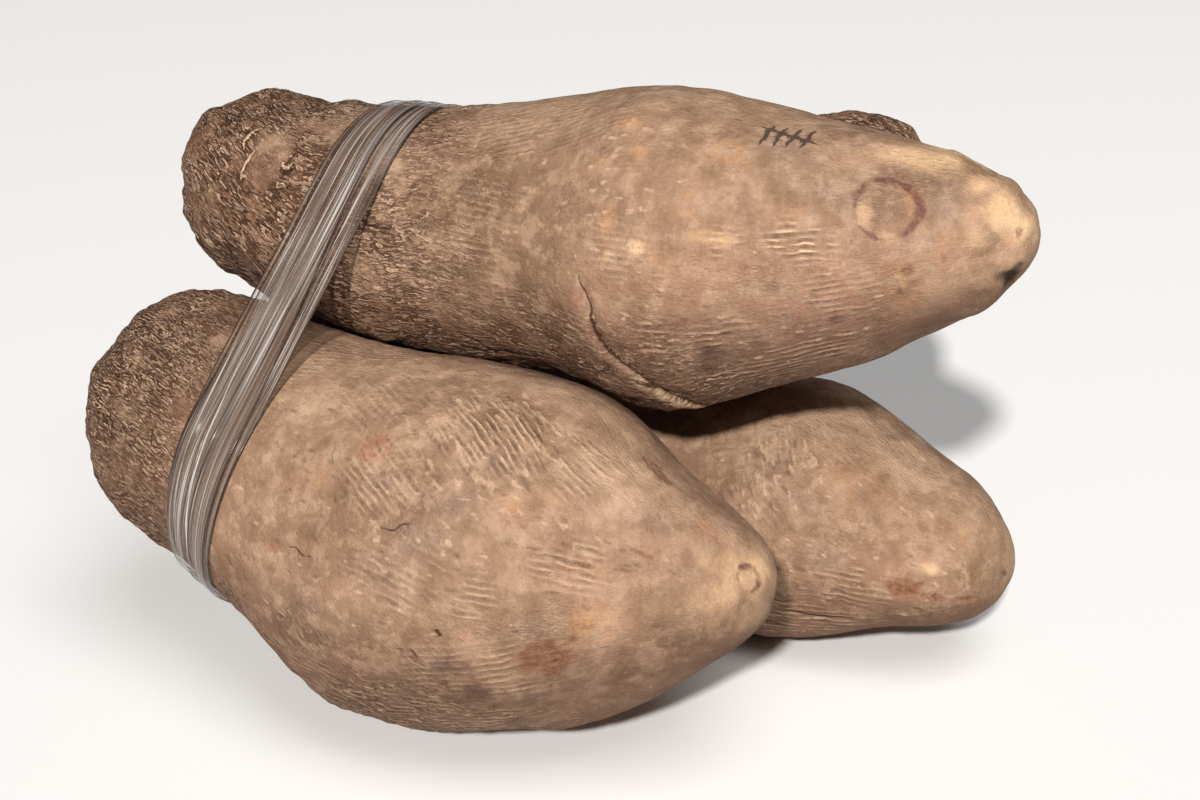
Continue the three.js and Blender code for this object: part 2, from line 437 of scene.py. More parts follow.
    def finish(self):
        """Puts the relief on, keeps it under the film, lays the skin on the surface and closes it."""
        by_film = fade(np.abs((self.points - FILM["through"]) @ FILM_OUT), *LOW_BY_FILM)
        height = self.height * (1 - by_film) + np.clip(0.35 * self.height, -1, 0.4) * by_film
        for way in (-1, 1):
            pole = self.poles & (way * (self.share - 0.5) > 0)
            height[pole] = height[pole].mean()
        points = self.points + height[:, None] * self.normals
        points[:, 2] = np.maximum(points[:, 2], FLOOR)
        self.mesh.vertices.foreach_set("co", ((points - ORIGIN) * MM).ravel())
        closed = bmesh.new()
        closed.from_mesh(self.mesh)
        bmesh.ops.remove_doubles(closed, verts=closed.verts, dist=TINY)
        closed.to_mesh(self.mesh)
        closed.free()
        self.mesh.shade_smooth()
        return shown(self.name + "_skin", self.mesh)


# Marks of each skin, in the places that YAMS explains.
# rows: fields of parallel ridges with painted shade in their troughs,
# (mm, degrees, half length, half width, slant, pitch in mm, strength)
# flecks, chips: fields of short strokes, sunken and darkened with painted shade, or raised and pale, as
# strokes() takes them
# pale: where the ridges have pale crests; cream: young skin; warm, pink, rust, grey, olive: soft tints, one
# olive patch being painted shade; dust: a pale tint, mostly dust, and painted light where it lightens the
# rear yam's top;
# mauve: dark spots; worn: where the crown's roughness is rubbed off; lit: where the painted underside shade
# is lighter, all as (mm, degrees, half length, half width, strength)
# cracks: (places, half width, depth); ink: (places, half width)
# scars: (mm, degrees, half length, half width, slant); rings: (mm, degrees, radius, half width, strongest at)
MARKS = {
    "yam_upper": dict(
        rows=[
            (253, 160, 15, 9, -2, 2.3, 1.0), (234, 161, 10, 8, 0, 2.3, 0.7), (211, 197, 9, 15, 6, 2.7, 1.0),
            (232, 200, 18, 14, 4, 2.6, 0.7), (262, 190, 22, 12, 3, 2.3, 0.5),
            (244, 218, 34, 16, 6, 2.4, 0.7), (183, 200, 8, 16, 10, 2.6, 0.5),
            (135, 224, 60, 12, -8, 2.2, 0.7), (200, 165, 16, 14, 4, 2.4, 0.35),
            (130, 165, 40, 30, 8, 2.6, 0.3), (150, 112, 40, 14, -14, 2.6, 0.4),
            (230, 20, 40, 30, 5, 2.8, 0.6), (120, 320, 60, 40, -6, 2.6, 0.5), (110, 30, 50, 40, 4, 2.8, 0.4),
        ],
        flecks=[(160, 176, 90, 110, 90, (1.5, 4), 0.7, 4), (160, 340, 110, 110, 80, (2, 5), 0.7, 6)],
        chips=[
            (150, 150, 70, 46, 110, (1.2, 4), 0.9, 4), (196, 140, 14, 26, 30, (1.5, 4.5), 1.3, 0),
            (232, 190, 50, 30, 60, (1.5, 5), 1.0, 4), (160, 340, 100, 110, 60, (1.5, 5), 1.0, 6),
        ],
        pale=[(254, 161, 15, 8, 1.0), (234, 161, 9, 7, 0.8), (211, 197, 8, 14, 0.9), (228, 213, 6, 3, 0.6)],
        cream=[
            (306, 128, 9, 9, 1.0), (311, 152, 6, 7, 0.9), (299, 114, 9, 7, 0.8), (280, 104, 17, 8, 0.9),
            (284, 80, 14, 10, 0.7), (231, 158, 9, 3.5, 0.7), (206, 163, 3, 2.5, 0.8), (196, 166, 3, 3, 0.6),
            (270, 148, 4, 7, 0.5), (275, 158, 6, 3.5, 0.45), (277, 132, 3, 2.5, 0.45),
            (302, 30, 14, 14, 0.9), (308, 290, 9, 12, 0.7), (280, 187, 2, 3.5, 0.45),
            (278, 182, 3, 1.5, 0.4),
        ],
        dust=[
            (114, 184, 22, 22, 0.5), (286, 192, 14, 14, 0.4), (64, 112, 16, 10, 0.7), (76, 94, 14, 10, 0.7),
            (262, 116, 10, 6, 0.4), (150, 96, 40, 10, 0.4), (106, 126, 14, 13, 0.8), (92, 142, 8, 8, 0.6),
        ],
        worn=[(90, 110, 24, 16, 1.0), (98, 130, 24, 14, 1.0), (88, 150, 10, 8, 0.6)],
        lit=[(88, 204, 34, 26, 0.8)],
        warm=[
            (194, 117, 4, 4, 0.9), (201, 129, 4, 3, 0.7), (195, 156, 3, 6, 0.8), (222, 146, 7, 5, 0.7),
            (229, 124, 8, 5, 0.9), (228, 159, 9, 4, 0.6), (188, 135, 4, 3, 0.6), (213, 167, 5, 4, 0.7),
            (263, 115, 8, 5, 0.4), (279, 134, 3, 2, 0.9), (282, 141, 2, 3, 0.8), (279, 182, 5, 6, 0.7),
            (254, 148, 9, 3, 0.4), (281, 198, 9, 6, 0.5), (292, 165, 8, 8, 0.4),
        ],
        pink=[
            (262, 196, 34, 20, 0.9), (228, 174, 20, 9, 0.8), (190, 128, 20, 20, 0.2),
            (285, 190, 12, 10, 0.6), (190, 186, 10, 20, 0.5), (297, 142, 3, 5, 0.9), (291, 177, 6, 4, 0.7),
            (178, 146, 8, 6, 0.4),
        ],
        grey=[
            (258, 186, 14, 9, 0.5), (236, 206, 24, 12, 0.6), (262, 138, 14, 12, 0.4), (290, 146, 5, 13, 0.8),
            (287, 160, 7, 5, 0.8), (275, 145, 3, 3, 0.8), (244, 119, 10, 6, 0.6), (261, 134, 6, 6, 0.5),
        ],
        # The patch at 240 mm and 214 degrees is painted shade on the underside towards the tip; the rest are
        # olive tints
        olive=[
            (150, 160, 34, 30, 0.9), (176, 205, 20, 24, 0.8), (198, 148, 3.5, 3.5, 0.8),
            (216, 161, 2.5, 7, 0.6), (240, 214, 40, 16, 0.8), (299, 214, 7, 6, 0.9), (292, 212, 7, 5, 0.6),
            (303, 168, 6, 4, 0.4), (244, 119, 8, 5, 0.3),
        ],
        mauve=[
            (227, 205, 5, 4, 0.9), (222, 212, 4, 3, 0.6), (312, 217, 2.2, 3, 1.0), (38, 166, 12, 11, 0.4),
            (46, 184, 12, 9, 0.35), (263, 200, 6, 3, 0.5), (246, 178, 5, 2, 0.4),
        ],
        scars=[
            (281, 178.5, 1.9, 1.9, 0), (283, 187, 1.0, 0.8, 0), (279, 192, 0.9, 0.7, 0),
            (282, 201, 0.8, 0.8, 0), (221, 189, 1.4, 1.4, 0), (257, 172.5, 1.0, 0.8, 0),
            (312, 154, 1.3, 1.3, 0),
        ],
        cracks=[
            ([(62.6, 139.5), (64.8, 141.3), (67.2, 138)], 0.75, 1.2),
            ([(63.4, 136.5), (65, 132), (67.4, 127)], 0.35, 0.8),
            ([(100, 159), (106, 161), (112, 161)], 0.45, 0.8),
            (
                [(186, 174), (188.5, 182), (189.5, 191), (192, 200), (201, 211), (209, 226), (216, 244)],
                0.36, 1.5,
            ),
            ([(199, 214), (206, 221), (216, 226)], 0.35, 0.7),
            ([(130, 212), (137, 219), (141, 228)], 0.4, 0.9),
            ([(125, 222), (140, 226), (158, 222)], 0.4, 0.9),
        ],
        ink=[
            ([(237, 118), (238, 103)], 0.7), ([(241, 118), (242, 103)], 0.7),
            ([(245, 117), (246, 102)], 0.7), ([(249, 116), (250, 101)], 0.7),
            ([(234, 106), (253, 112)], 0.7),
        ],
        rings=[(274.4, 143, 10.2, 1.5, -45)],
    ),
    "yam_lower_front": dict(
        rows=[
            (176, 112, 27, 25, 38, 2.3, 1.0), (214, 147, 18, 13, 2, 2.5, 0.8),
            (192, 163, 13, 14, 6, 2.5, 0.7), (150, 134, 20, 20, 34, 2.4, 0.7),
            (206, 112, 12, 16, 20, 2.6, 0.6), (168, 158, 26, 18, 16, 2.8, 0.35),
            (130, 108, 26, 20, 30, 2.8, 0.3), (196, 190, 34, 16, -4, 2.6, 0.5),
            (120, 300, 60, 60, 8, 2.8, 0.5), (190, 20, 40, 40, -8, 2.8, 0.6),
            (150, 215, 60, 22, 4, 2.6, 0.6), (100, 60, 40, 50, -10, 2.8, 0.4),
        ],
        flecks=[
            (150, 155, 90, 80, 90, (1.5, 4), 0.7, 6), (110, 158, 30, 44, 60, (1.5, 4), 0.7, 6),
            (140, 320, 110, 150, 90, (2, 5), 0.7, 8), (214, 146, 20, 14, 16, (3, 7), 0.8, 2),
            (174, 114, 26, 24, 44, (3, 8), 0.7, 38), (150, 134, 22, 18, 30, (3, 7), 0.7, 34),
            (165, 156, 24, 14, 18, (3, 6), 0.8, 12),
        ],
        chips=[
            (150, 145, 70, 60, 60, (1.5, 5), 0.9, 10), (170, 150, 26, 26, 40, (2, 5), 1.1, 20),
            (172, 112, 26, 24, 46, (3, 9), 1.2, 38), (200, 118, 16, 20, 20, (2, 6), 1.1, 24),
            (140, 320, 110, 150, 70, (2, 5), 1.0, 8),
        ],
        pale=[(160, 102, 20, 12, 0.7), (196, 118, 12, 14, 0.5), (178, 150, 12, 12, 0.4)],
        cream=[
            (250, 126, 13, 15, 0.7), (258, 104, 8, 12, 0.8), (246, 150, 10, 9, 0.5), (258, 40, 10, 16, 0.5),
            (258, 220, 6, 8, 0.3),
        ],
        dust=[
            (48, 112, 18, 14, 0.5), (216, 113, 12, 10, 0.9), (219, 94, 9, 8, 0.9), (208, 106, 8, 7, 0.7),
            (156, 112, 13, 7, 0.7), (159, 136, 11, 5, 0.5), (188, 150, 7, 5, 0.4), (136, 132, 10, 6, 0.4),
            (200, 140, 8, 5, 0.4), (120, 116, 22, 8, 0.5), (180, 84, 30, 8, 0.6), (132, 98, 12, 12, 0.5),
        ],
        warm=[
            (222, 170, 7, 6, 0.9), (193, 132, 4, 2.5, 0.6), (203, 126, 6, 2, 0.6), (219, 147, 5, 5, 0.4),
            (239, 104, 4, 3, 0.6), (250, 155, 4, 4, 0.4), (128, 136, 4, 8, 0.3), (143, 125, 7, 6, 0.4),
        ],
        pink=[
            (193, 134, 6, 4, 0.7), (218, 150, 14, 10, 0.5), (148, 166, 7, 5, 0.4), (224, 174, 9, 8, 0.6),
            (120, 142, 10, 8, 0.4), (231, 135, 7, 6, 0.7), (240, 104, 6, 5, 0.7), (192, 176, 4, 4, 0.9),
        ],
        grey=[
            (170, 148, 10, 7, 0.8), (184, 120, 8, 4, 0.7), (176, 135, 7, 5, 0.7), (150, 134, 5, 4, 0.6),
            (228, 118, 5, 4, 0.5), (208, 176, 10, 5, 0.4), (165, 160, 12, 9, 0.5), (132, 176, 14, 8, 0.4),
        ],
        olive=[
            (201, 198, 22, 6, 0.9), (172, 199, 18, 7, 0.8), (140, 192, 16, 8, 0.6), (228, 206, 14, 7, 0.7),
            (237, 172, 8, 5, 0.6), (247, 190, 12, 6, 0.8), (130, 150, 40, 30, 0.2), (44, 160, 24, 24, 0.6),
            (154, 180, 34, 12, 0.4), (205, 170, 18, 12, 0.35),
        ],
        mauve=[
            (186, 187, 10, 6, 0.7), (195, 198, 12, 6, 0.7), (209, 204, 10, 5, 0.6), (178, 196, 6, 5, 0.5),
            (221, 190, 5, 3, 0.4), (176, 122, 2, 3, 0.4),
        ],
        rust=[
            (141.7, 125, 6.5, 6, 1.0), (222, 172, 6, 5, 0.4), (212, 184, 12, 8, 0.7), (117, 165, 6, 3, 0.6),
        ],
        scars=[(212.7, 186, 9, 5.6, 20), (221, 88, 7, 3.4, 25), (218, 178, 1.6, 1.4, 0)],
        cracks=[
            ([(157, 146.4), (160, 146.5), (163, 144.4), (165, 144)], 0.16, 0.4),
            ([(124, 161), (127, 160.4), (130, 161.6), (133, 160.6)], 0.16, 0.3),
            ([(182, 173), (184.4, 175.6)], 0.3, 0.5), ([(174, 181), (177, 183.6)], 0.22, 0.5),
        ],
        rings=[(256.8, 124, 4.4, 0.9, -60)],
    ),
    "yam_lower_rear": dict(
        rows=[
            (221, 124, 13, 13, 62, 2.4, 0.3), (206, 134, 13, 15, -22, 2.6, 0.3),
            (224, 150, 15, 13, 40, 2.6, 0.3), (240, 205, 50, 14, 2, 2.6, 0.7),
            (258, 186, 22, 10, 4, 2.4, 0.5), (120, 60, 60, 40, -6, 2.8, 0.5), (200, 0, 60, 40, 8, 2.8, 0.6),
            (160, 270, 80, 40, 4, 2.8, 0.5),
        ],
        flecks=[
            (238, 180, 60, 60, 70, (1.5, 4), 0.7, 4), (150, 300, 130, 140, 90, (2, 5), 0.7, 6),
            (221, 124, 14, 14, 10, (2, 6), 0.7, 66), (224, 148, 20, 18, 16, (2, 5), 0.7, 30),
            (255, 190, 30, 12, 24, (2, 6), 0.8, 10),
        ],
        chips=[
            (238, 150, 50, 60, 70, (1.5, 4), 1.0, 20), (224, 132, 16, 20, 46, (3, 8), 1.1, 56),
            (150, 300, 130, 140, 80, (2, 5), 1.0, 6),
        ],
        pale=[(222, 128, 14, 12, 0.6)],
        cream=[(277, 124, 4, 3, 0.3), (280, 160, 6, 3, 0.7)],
        # The first two patches are painted light on the yam's top; the rest are dust
        dust=[
            (222, 118, 26, 22, 0.8), (262, 98, 26, 12, 0.9), (290, 118, 12, 8, 0.4), (281, 150, 7, 5, 0.5),
            (240, 140, 20, 8, 0.4),
        ],
        warm=[(250, 130, 18, 12, 0.4), (286, 134, 8, 6, 0.4)],
        pink=[(284, 176, 14, 5, 0.5), (296, 176, 8, 4, 0.4), (268, 166, 9, 6, 0.5), (278, 160, 9, 3, 0.5)],
        grey=[(236, 145, 9, 8, 0.5), (248, 168, 8, 6, 0.5), (221, 136, 8, 8, 0.5)],
        olive=[
            (180, 150, 30, 30, 0.2), (284, 198, 26, 9, 0.9), (266, 192, 14, 6, 0.5),
            (296, 162, 16, 18, 0.75),
        ],
        mauve=[(309, 142, 1.5, 1.5, 0.8), (244, 186, 6, 2, 0.4)],
        rust=[(274, 176, 7, 4.5, 0.8)],
        scars=[
            (273, 176, 5.5, 3.2, 0), (284, 179, 3, 1.4, 0), (295, 182, 5, 1.4, 0), (308, 142, 1.1, 1.1, 0),
        ],
        cracks=[([(240, 200), (250, 204), (262, 203)], 0.4, 0.8), ([(228, 210), (240, 214)], 0.4, 0.8)],
    ),
    "yam_upper_rear": dict(
        rows=[
            (140, 250, 34, 30, 30, 2.8, 0.9), (90, 190, 26, 24, 10, 2.7, 0.7),
            (180, 175, 30, 24, 50, 2.6, 0.8), (150, 60, 60, 40, 5, 2.8, 0.5),
        ],
        flecks=[(120, 180, 100, 130, 100, (2, 5), 0.7, 6)],
        chips=[(120, 180, 100, 130, 110, (2, 5), 1.0, 6)],
        pale=[(140, 250, 14, 10, 0.6)],
        cream=[(222, 200, 8, 10, 0.8), (224, 60, 8, 12, 0.7)],
        dust=[(120, 150, 30, 14, 0.5), (170, 230, 20, 12, 0.6)],
        warm=[(180, 200, 12, 8, 0.5), (205, 170, 10, 12, 0.5)],
        pink=[(160, 240, 26, 14, 0.5)],
        grey=[(130, 190, 24, 20, 0.5)],
        olive=[(120, 230, 30, 24, 0.5)],
        mauve=[(150, 190, 9, 5, 0.5)],
        scars=[(110, 230, 5, 4, 30), (165, 160, 6, 3, 0)],
        cracks=[
            ([(60, 190), (66, 196), (72, 196)], 0.4, 0.8), ([(150, 150), (158, 160), (160, 172)], 0.4, 0.9),
        ],
        rings=[(150, 215, 7, 1.2, 40)],
    ),
}


def tip_nub(skin):
    """The upper yam's pale nub, with its bumps and crease, and the notch under it, which the material paints
    with shade.
    """
    crease, on = skin.trail([(295, 174), (298, 181), (303, 179), (305, 172)], 0.8, 3)
    crease = np.exp(-((crease / 1.8) ** 2)) * np.sin(math.pi * np.clip(on, 0.02, 0.98)) ** 0.6
    skin.height -= CREASE_DEPTH * crease
    bumps = ((306, 138, 8, 10, 1.3), (303, 162, 3.5, 4.5, 0.8), (312, 176, 4, 6, 0.8), (296, 240, 9, 8, 1.6),
             (289, 200, 7, 9, 0.7), (287, 88, 4, 6, 0.9), (296, 92, 3, 5, -0.8), (305, 84, 4, 5, 1.2),
             (313, 100, 3, 6, -0.7), (317, 130, 4, 5, 0.9))
    for mm, degrees, half_long, half_wide, height in bumps:
        skin.height += height * np.exp(-(skin.oval(mm, degrees, half_long, half_wide, 0, 0.4) ** 2))
    notch, on = skin.trail([(299, 203), (303, 205), (307, 213), (309, 225), (309, 243)], 1.2, 5)
    notch = np.exp(-((notch / (1.6 + 2.2 * on)) ** 2)) * on
    skin.height -= NOTCH_DEPTH * notch
    return notch


def crown_scar(skin):
    """The smooth oval where the stem came off the upper yam, and the pale curls of bark round it."""
    edge = skin.oval(*skin.yam["stem"], 9.5, 12.5, 0, 0.25)
    skin.height -= STEM_DEPTH * fade(edge, 0.8, 1.0)
    curls = [([(46.8, 133.6), (46, 129.6), (46.8, 125.6), (48, 122), (49.6, 119)], 0.3),
             ([(50.4, 133), (49.6, 137), (49.2, 143), (48.8, 147), (49.2, 150)], 0.22),
             ([(62.8, 136), (64, 138.4), (65.6, 138), (66.6, 135)], 0.4)]
    rim = skin.drawn(curls, 0.3)
    skin.height += CURL_HEIGHT * np.exp(-((rim[:, 0] / 0.8) ** 2))
    return fade(edge, 0.7, 1.1), rim


def cleft_lip(skin):
    """The upper yam's cleft: its crown side stands proud and pale towards the belly."""
    gap, on = skin.trail([(186, 174), (189.5, 191), (192, 200), (201, 211), (216, 244)], reach=16)
    swell = np.sin(math.pi * np.clip(on, 0, 1)) ** 0.5
    skin.height += np.where(gap < 0, LIP_HEIGHT * np.exp(-(((gap + 3) / 4) ** 2)) * swell, 0)
    skin.height -= np.where(gap > 0, CLEFT_DEPTH * np.exp(-((gap / 3) ** 2)) * swell, 0)
    return np.where(gap < 0, fade(-gap, 0.8, 5.0) * fade(-on, -0.95, -0.45), 0)


def sink_scars(skin, scars):
    """Sinks the worn patches a little, and gives the distance from their ragged edges."""
    edge = np.full(len(skin.points), FAR)
    for mm, degrees, half_long, half_wide, slant in scars:
        away = skin.oval(mm, degrees, half_long, half_wide, slant, 0.5)
        edge = np.minimum(edge, (away - 1) * min(half_long, half_wide))
        skin.height -= SCAR_DEPTH * fade(away, 0.7, 1.1)
    return edge


def press_rings(skin, rings):
    """Sinks the ring marks, and gives the distance from their uneven lines and what lies inside."""
    edge, inside = np.full(len(skin.points), FAR), np.zeros(len(skin.points))
    for mm, degrees, radius, half_width, strongest in rings:
        near, x, y = skin.seen_from(mm, degrees, radius + 9)
        away = np.hypot(x, y) * (1 + 0.17 * skin.lumps(near, 8, 2, 9.0))
        uneven = 0.5 * np.cos(np.arctan2(y, x) - math.radians(strongest)) + 0.35
        uneven += 0.5 * skin.lumps(near, 5, 1, 4.0)
        edge[near] = np.minimum(edge[near], np.abs(away - radius) - half_width * uneven)
        inside[near] = np.maximum(inside[near], fade(away, radius * 0.75, radius))
        skin.height[near] -= RING_DEPTH * np.exp(-(((away - radius) / 1.6) ** 2))
    return edge, inside


def yam_piece(name, seed):
    """A yam's finished skin: relief in its mesh, and what its material reads in attributes."""
    skin = Skin(name)
    marks = defaultdict(list, MARKS[name])
    yam = skin.yam
    blank = np.zeros(len(skin.points))
    # Faces turned down: the material paints shade there, less under the lit patches; the bark is rougher
    # there too
    under = fade(skin.normals[:, 2], -0.8, 0.4) * (1 - skin.blots(marks["lit"]))
    rough = fade(skin.mm, yam["rough"][0], sum(yam["rough"]))
    rough = np.maximum(rough, 0.6 * under**2 * fade(skin.mm, skin.length * 0.5, skin.length * 0.95))
    rough = np.clip(rough + 0.2 * skin.grain(28, 7.0), 0, 1)
    rough *= 1 - 0.8 * skin.blots(marks["worn"])
    # Low lumps all over, and higher ones where the bark is rough
    skin.height += 0.7 * skin.grain(26, 1.0) + 0.3 * skin.grain(9, 3.0)
    skin.height += rough * (1.7 * skin.grain(13, 5.0) + 0.6 * skin.grain(4.5, 6.0))
    bare, lip, notch, rim = blank, blank, blank, skin.drawn([])
    if name == "yam_upper":
        notch = tip_nub(skin)
        bare, rim = crown_scar(skin)
        lip = cleft_lip(skin)
    rows, phase = skin.rows(marks["rows"], seed)
    skin.height += ROW_HEIGHT * rows * np.sin(phase)
    flecks = skin.strokes(marks["flecks"], seed)
    skin.height -= FLECK_DEPTH * fade(flecks, -0.4, 0.8)
    chips = skin.strokes(marks["chips"], seed + 5)
    skin.height += CHIP_HEIGHT * fade(chips, -0.4, 0.7)
    crack = skin.drawn(marks["cracks"], 1.2)
    scar = sink_scars(skin, marks["scars"])
    ring, inside = press_rings(skin, marks["rings"])
    ink = skin.drawn(marks["ink"], 0.8)
    cream = np.maximum(0.4 * fade(skin.length - skin.mm, yam["cream"][0], sum(yam["cream"])), 0.3 * inside)
    keep(skin.mesh, "bark", skin.bark_coordinates())
    for label, values in dict(
        rough=rough, under=under, bare=bare, rim=rim, lip=lip, rows=rows, phase=phase,
        flecks=flecks, chips=chips, crack=crack, scar=scar, ring=ring, ink=ink, notch=notch,
        cream=np.maximum(cream, skin.blots(marks["cream"])),
    ).items():
        keep(skin.mesh, label, values)
    for tint in ("pale", "dust", "warm", "pink", "rust", "grey", "olive", "mauve"):
        keep(skin.mesh, tint, skin.blots(marks[tint]))
    return skin.finish()


class Nodes:
    """A material's node tree, with a short call for each kind of node it uses."""

    def __init__(self, name):
        self.material = bpy.data.materials.new(name)
        self.material.use_nodes = True
        self.tree = self.material.node_tree
        self.tree.nodes.clear()

    def add(self, kind, settings=(), **inputs):
        node = self.tree.nodes.new("ShaderNode" + kind)
        for key, value in dict(settings).items():
            setattr(node, key, value)
        for key, value in inputs.items():
            self.feed(node.inputs[key.replace("_", " ")], value)
        return node

    def feed(self, socket, value):
        if isinstance(value, bpy.types.NodeSocket):
            self.tree.links.new(value, socket)
        else:
            socket.default_value = value

    def math(self, operation, *values, clamp=False):
        node = self.add("Math", {"operation": operation, "use_clamp": clamp})
        for socket, value in zip(node.inputs, values):
            self.feed(socket, value)
        return node.outputs[0]

    def times(self, first, second):
        return self.math("MULTIPLY", first, second)

    def plus(self, first, second):
        return self.math("ADD", first, second)

    def away(self, value, level):
        return self.math("ABSOLUTE", self.math("SUBTRACT", value, level))

    def swing(self, value, size):
        """A 0 to 1 value moved to swing about 0 by a size."""
        return self.times(self.math("SUBTRACT", value, 0.5), size)

    def vector(self, operation, *values):
        node = self.add("VectorMath", {"operation": operation})
        for socket, value in zip(node.inputs, values):
            self.feed(socket, value)
        return node.outputs[0]

    def attribute(self, name, output="Fac"):
        return self.add("Attribute", {"attribute_name": name}).outputs[output]

    def line(self, name):
        """Distance from the edge of the lines drawn on a skin, kept true between its vertices."""
        side, plain, half_width = self.add("SeparateXYZ", Vector=self.attribute(name, "Vector")).outputs
        near = self.math("MAXIMUM", self.math("ABSOLUTE", side), self.math("SUBTRACT", plain, 0.5))
        return self.math("SUBTRACT", near, half_width)

    def object_place(self):
        return self.add("TexCoord").outputs["Object"]

    def noise(self, vector, scale, detail=2.0, roughness=0.5, output="Fac"):
        node = self.add("TexNoise", Vector=vector, Scale=scale, Detail=detail, Roughness=roughness)
        return node.outputs[output]

    def stretched(self, vector, *sizes):
        """Coordinates in which a feature has these sizes along the three axes."""
        scale = tuple(1 / size for size in sizes)
        return self.add("Mapping", {"vector_type": "POINT"}, Vector=vector, Scale=scale).outputs[0]

    def steps(self, value, low, high, start=0.0, end=1.0):
        """start below low, end above high, smooth between."""
        node = self.add("MapRange", {"interpolation_type": "SMOOTHSTEP"})
        for socket, number in zip(node.inputs, (value, low, high, start, end)):
            self.feed(socket, number)
        return node.outputs[0]

    def mix(self, amount, first, second):
        """The first colour, covered by the second as far as an amount says."""
        node = self.add("Mix", {"data_type": "RGBA", "clamp_factor": True})
        self.feed(node.inputs[0], amount)
        for socket, value in zip(node.inputs[6:8], (first, second)):
            self.feed(socket, value)
        return node.outputs[2]

    def finish(self, **inputs):
        shader = self.add("BsdfPrincipled", **inputs)
        output = self.add("OutputMaterial")
        self.tree.links.new(shader.outputs[0], output.inputs[0])
        return self.material


def shade(red, green, blue):
    """A colour as the eye gives it, 0 to 255, in the renderer's own linear values."""
    parts = (value / 255 for value in (red, green, blue))
    linear = [part / 12.92 if part <= 0.0404 else ((part + 0.055) / 1.055) ** 2.4 for part in parts]
    return (*linear, 1.0)


# Colours of the skin
TAN = shade(156, 125, 101)
DUSTY = shade(206, 172, 144)
BARK = shade(122, 90, 69)
ROUGH = shade(131, 94, 69)
BARE = shade(122, 93, 73)
GREY = shade(146, 122, 108)
OLIVE = shade(112, 87, 65)
MAUVE = shade(82, 59, 51)
EARTH = shade(104, 75, 58)
# Painted shade on the undersides
UNDERSIDE_SHADE = shade(84, 57, 42)
# Painted shade in clefts, troughs, hollows and sunken flecks
VALLEY_SHADE = shade(60, 32, 21)
CREST = shade(214, 179, 150)
CREAM = shade(228, 187, 145)
PALE = shade(238, 203, 166)
PINK = shade(182, 138, 115)
WARM = shade(198, 150, 106)
SCAR = shade(106, 64, 44)
RUST = shade(158, 111, 84)
OCHRE = shade(142, 112, 74)
WINE = shade(116, 74, 60)
CRACK = shade(54, 28, 19)
RING = shade(112, 72, 66)
INK = shade(52, 39, 41)
# Painted shade in the notch under the nub
NOTCH_SHADE = shade(36, 24, 19)


def bark_grain(n, place, rough):
    """The grain as a height in about millimetres, and how far its pale wrinkles and the painted shade of its
    clefts show.
    """
    shove = n.vector("SUBTRACT", n.noise(place, 150, 2, output="Color"), (0.5, 0.5, 0.5))
    bark = n.vector("ADD", n.attribute("bark", "Vector"), n.vector("MULTIPLY", shove, (2.6, 2.6, 2.6)))
    fine = n.noise(n.stretched(bark, 2.2, 0.8, 0.8), 1, 2, 0.6)
    wrinkle = n.noise(n.stretched(bark, 5.2, 1.2, 1.2), 1, 1, 0.5)
    busy = n.times(rough, n.steps(n.noise(place, 85, 2), 0.36, 0.52, 0.3, 1))
    on_crests = n.times(busy, n.steps(fine, 0.32, 0.45, 0.4, 1))
    in_clefts = n.times(busy, n.steps(fine, 0.64, 0.52, 0.3, 1))
    crest = n.times(n.steps(n.away(wrinkle, 0.615), 0.065, 0.03), on_crests)
    # Where the material paints shade in the clefts
    cleft = n.times(n.steps(n.away(wrinkle, 0.5), 0.09, 0.045), in_clefts)
    grain = n.plus(n.times(n.swing(fine, 2.0), n.steps(rough, 0, 0.9, 0.3, 0.9)),
                   n.math("SUBTRACT", crest, n.times(cleft, 1.1)))
    return grain, crest, cleft


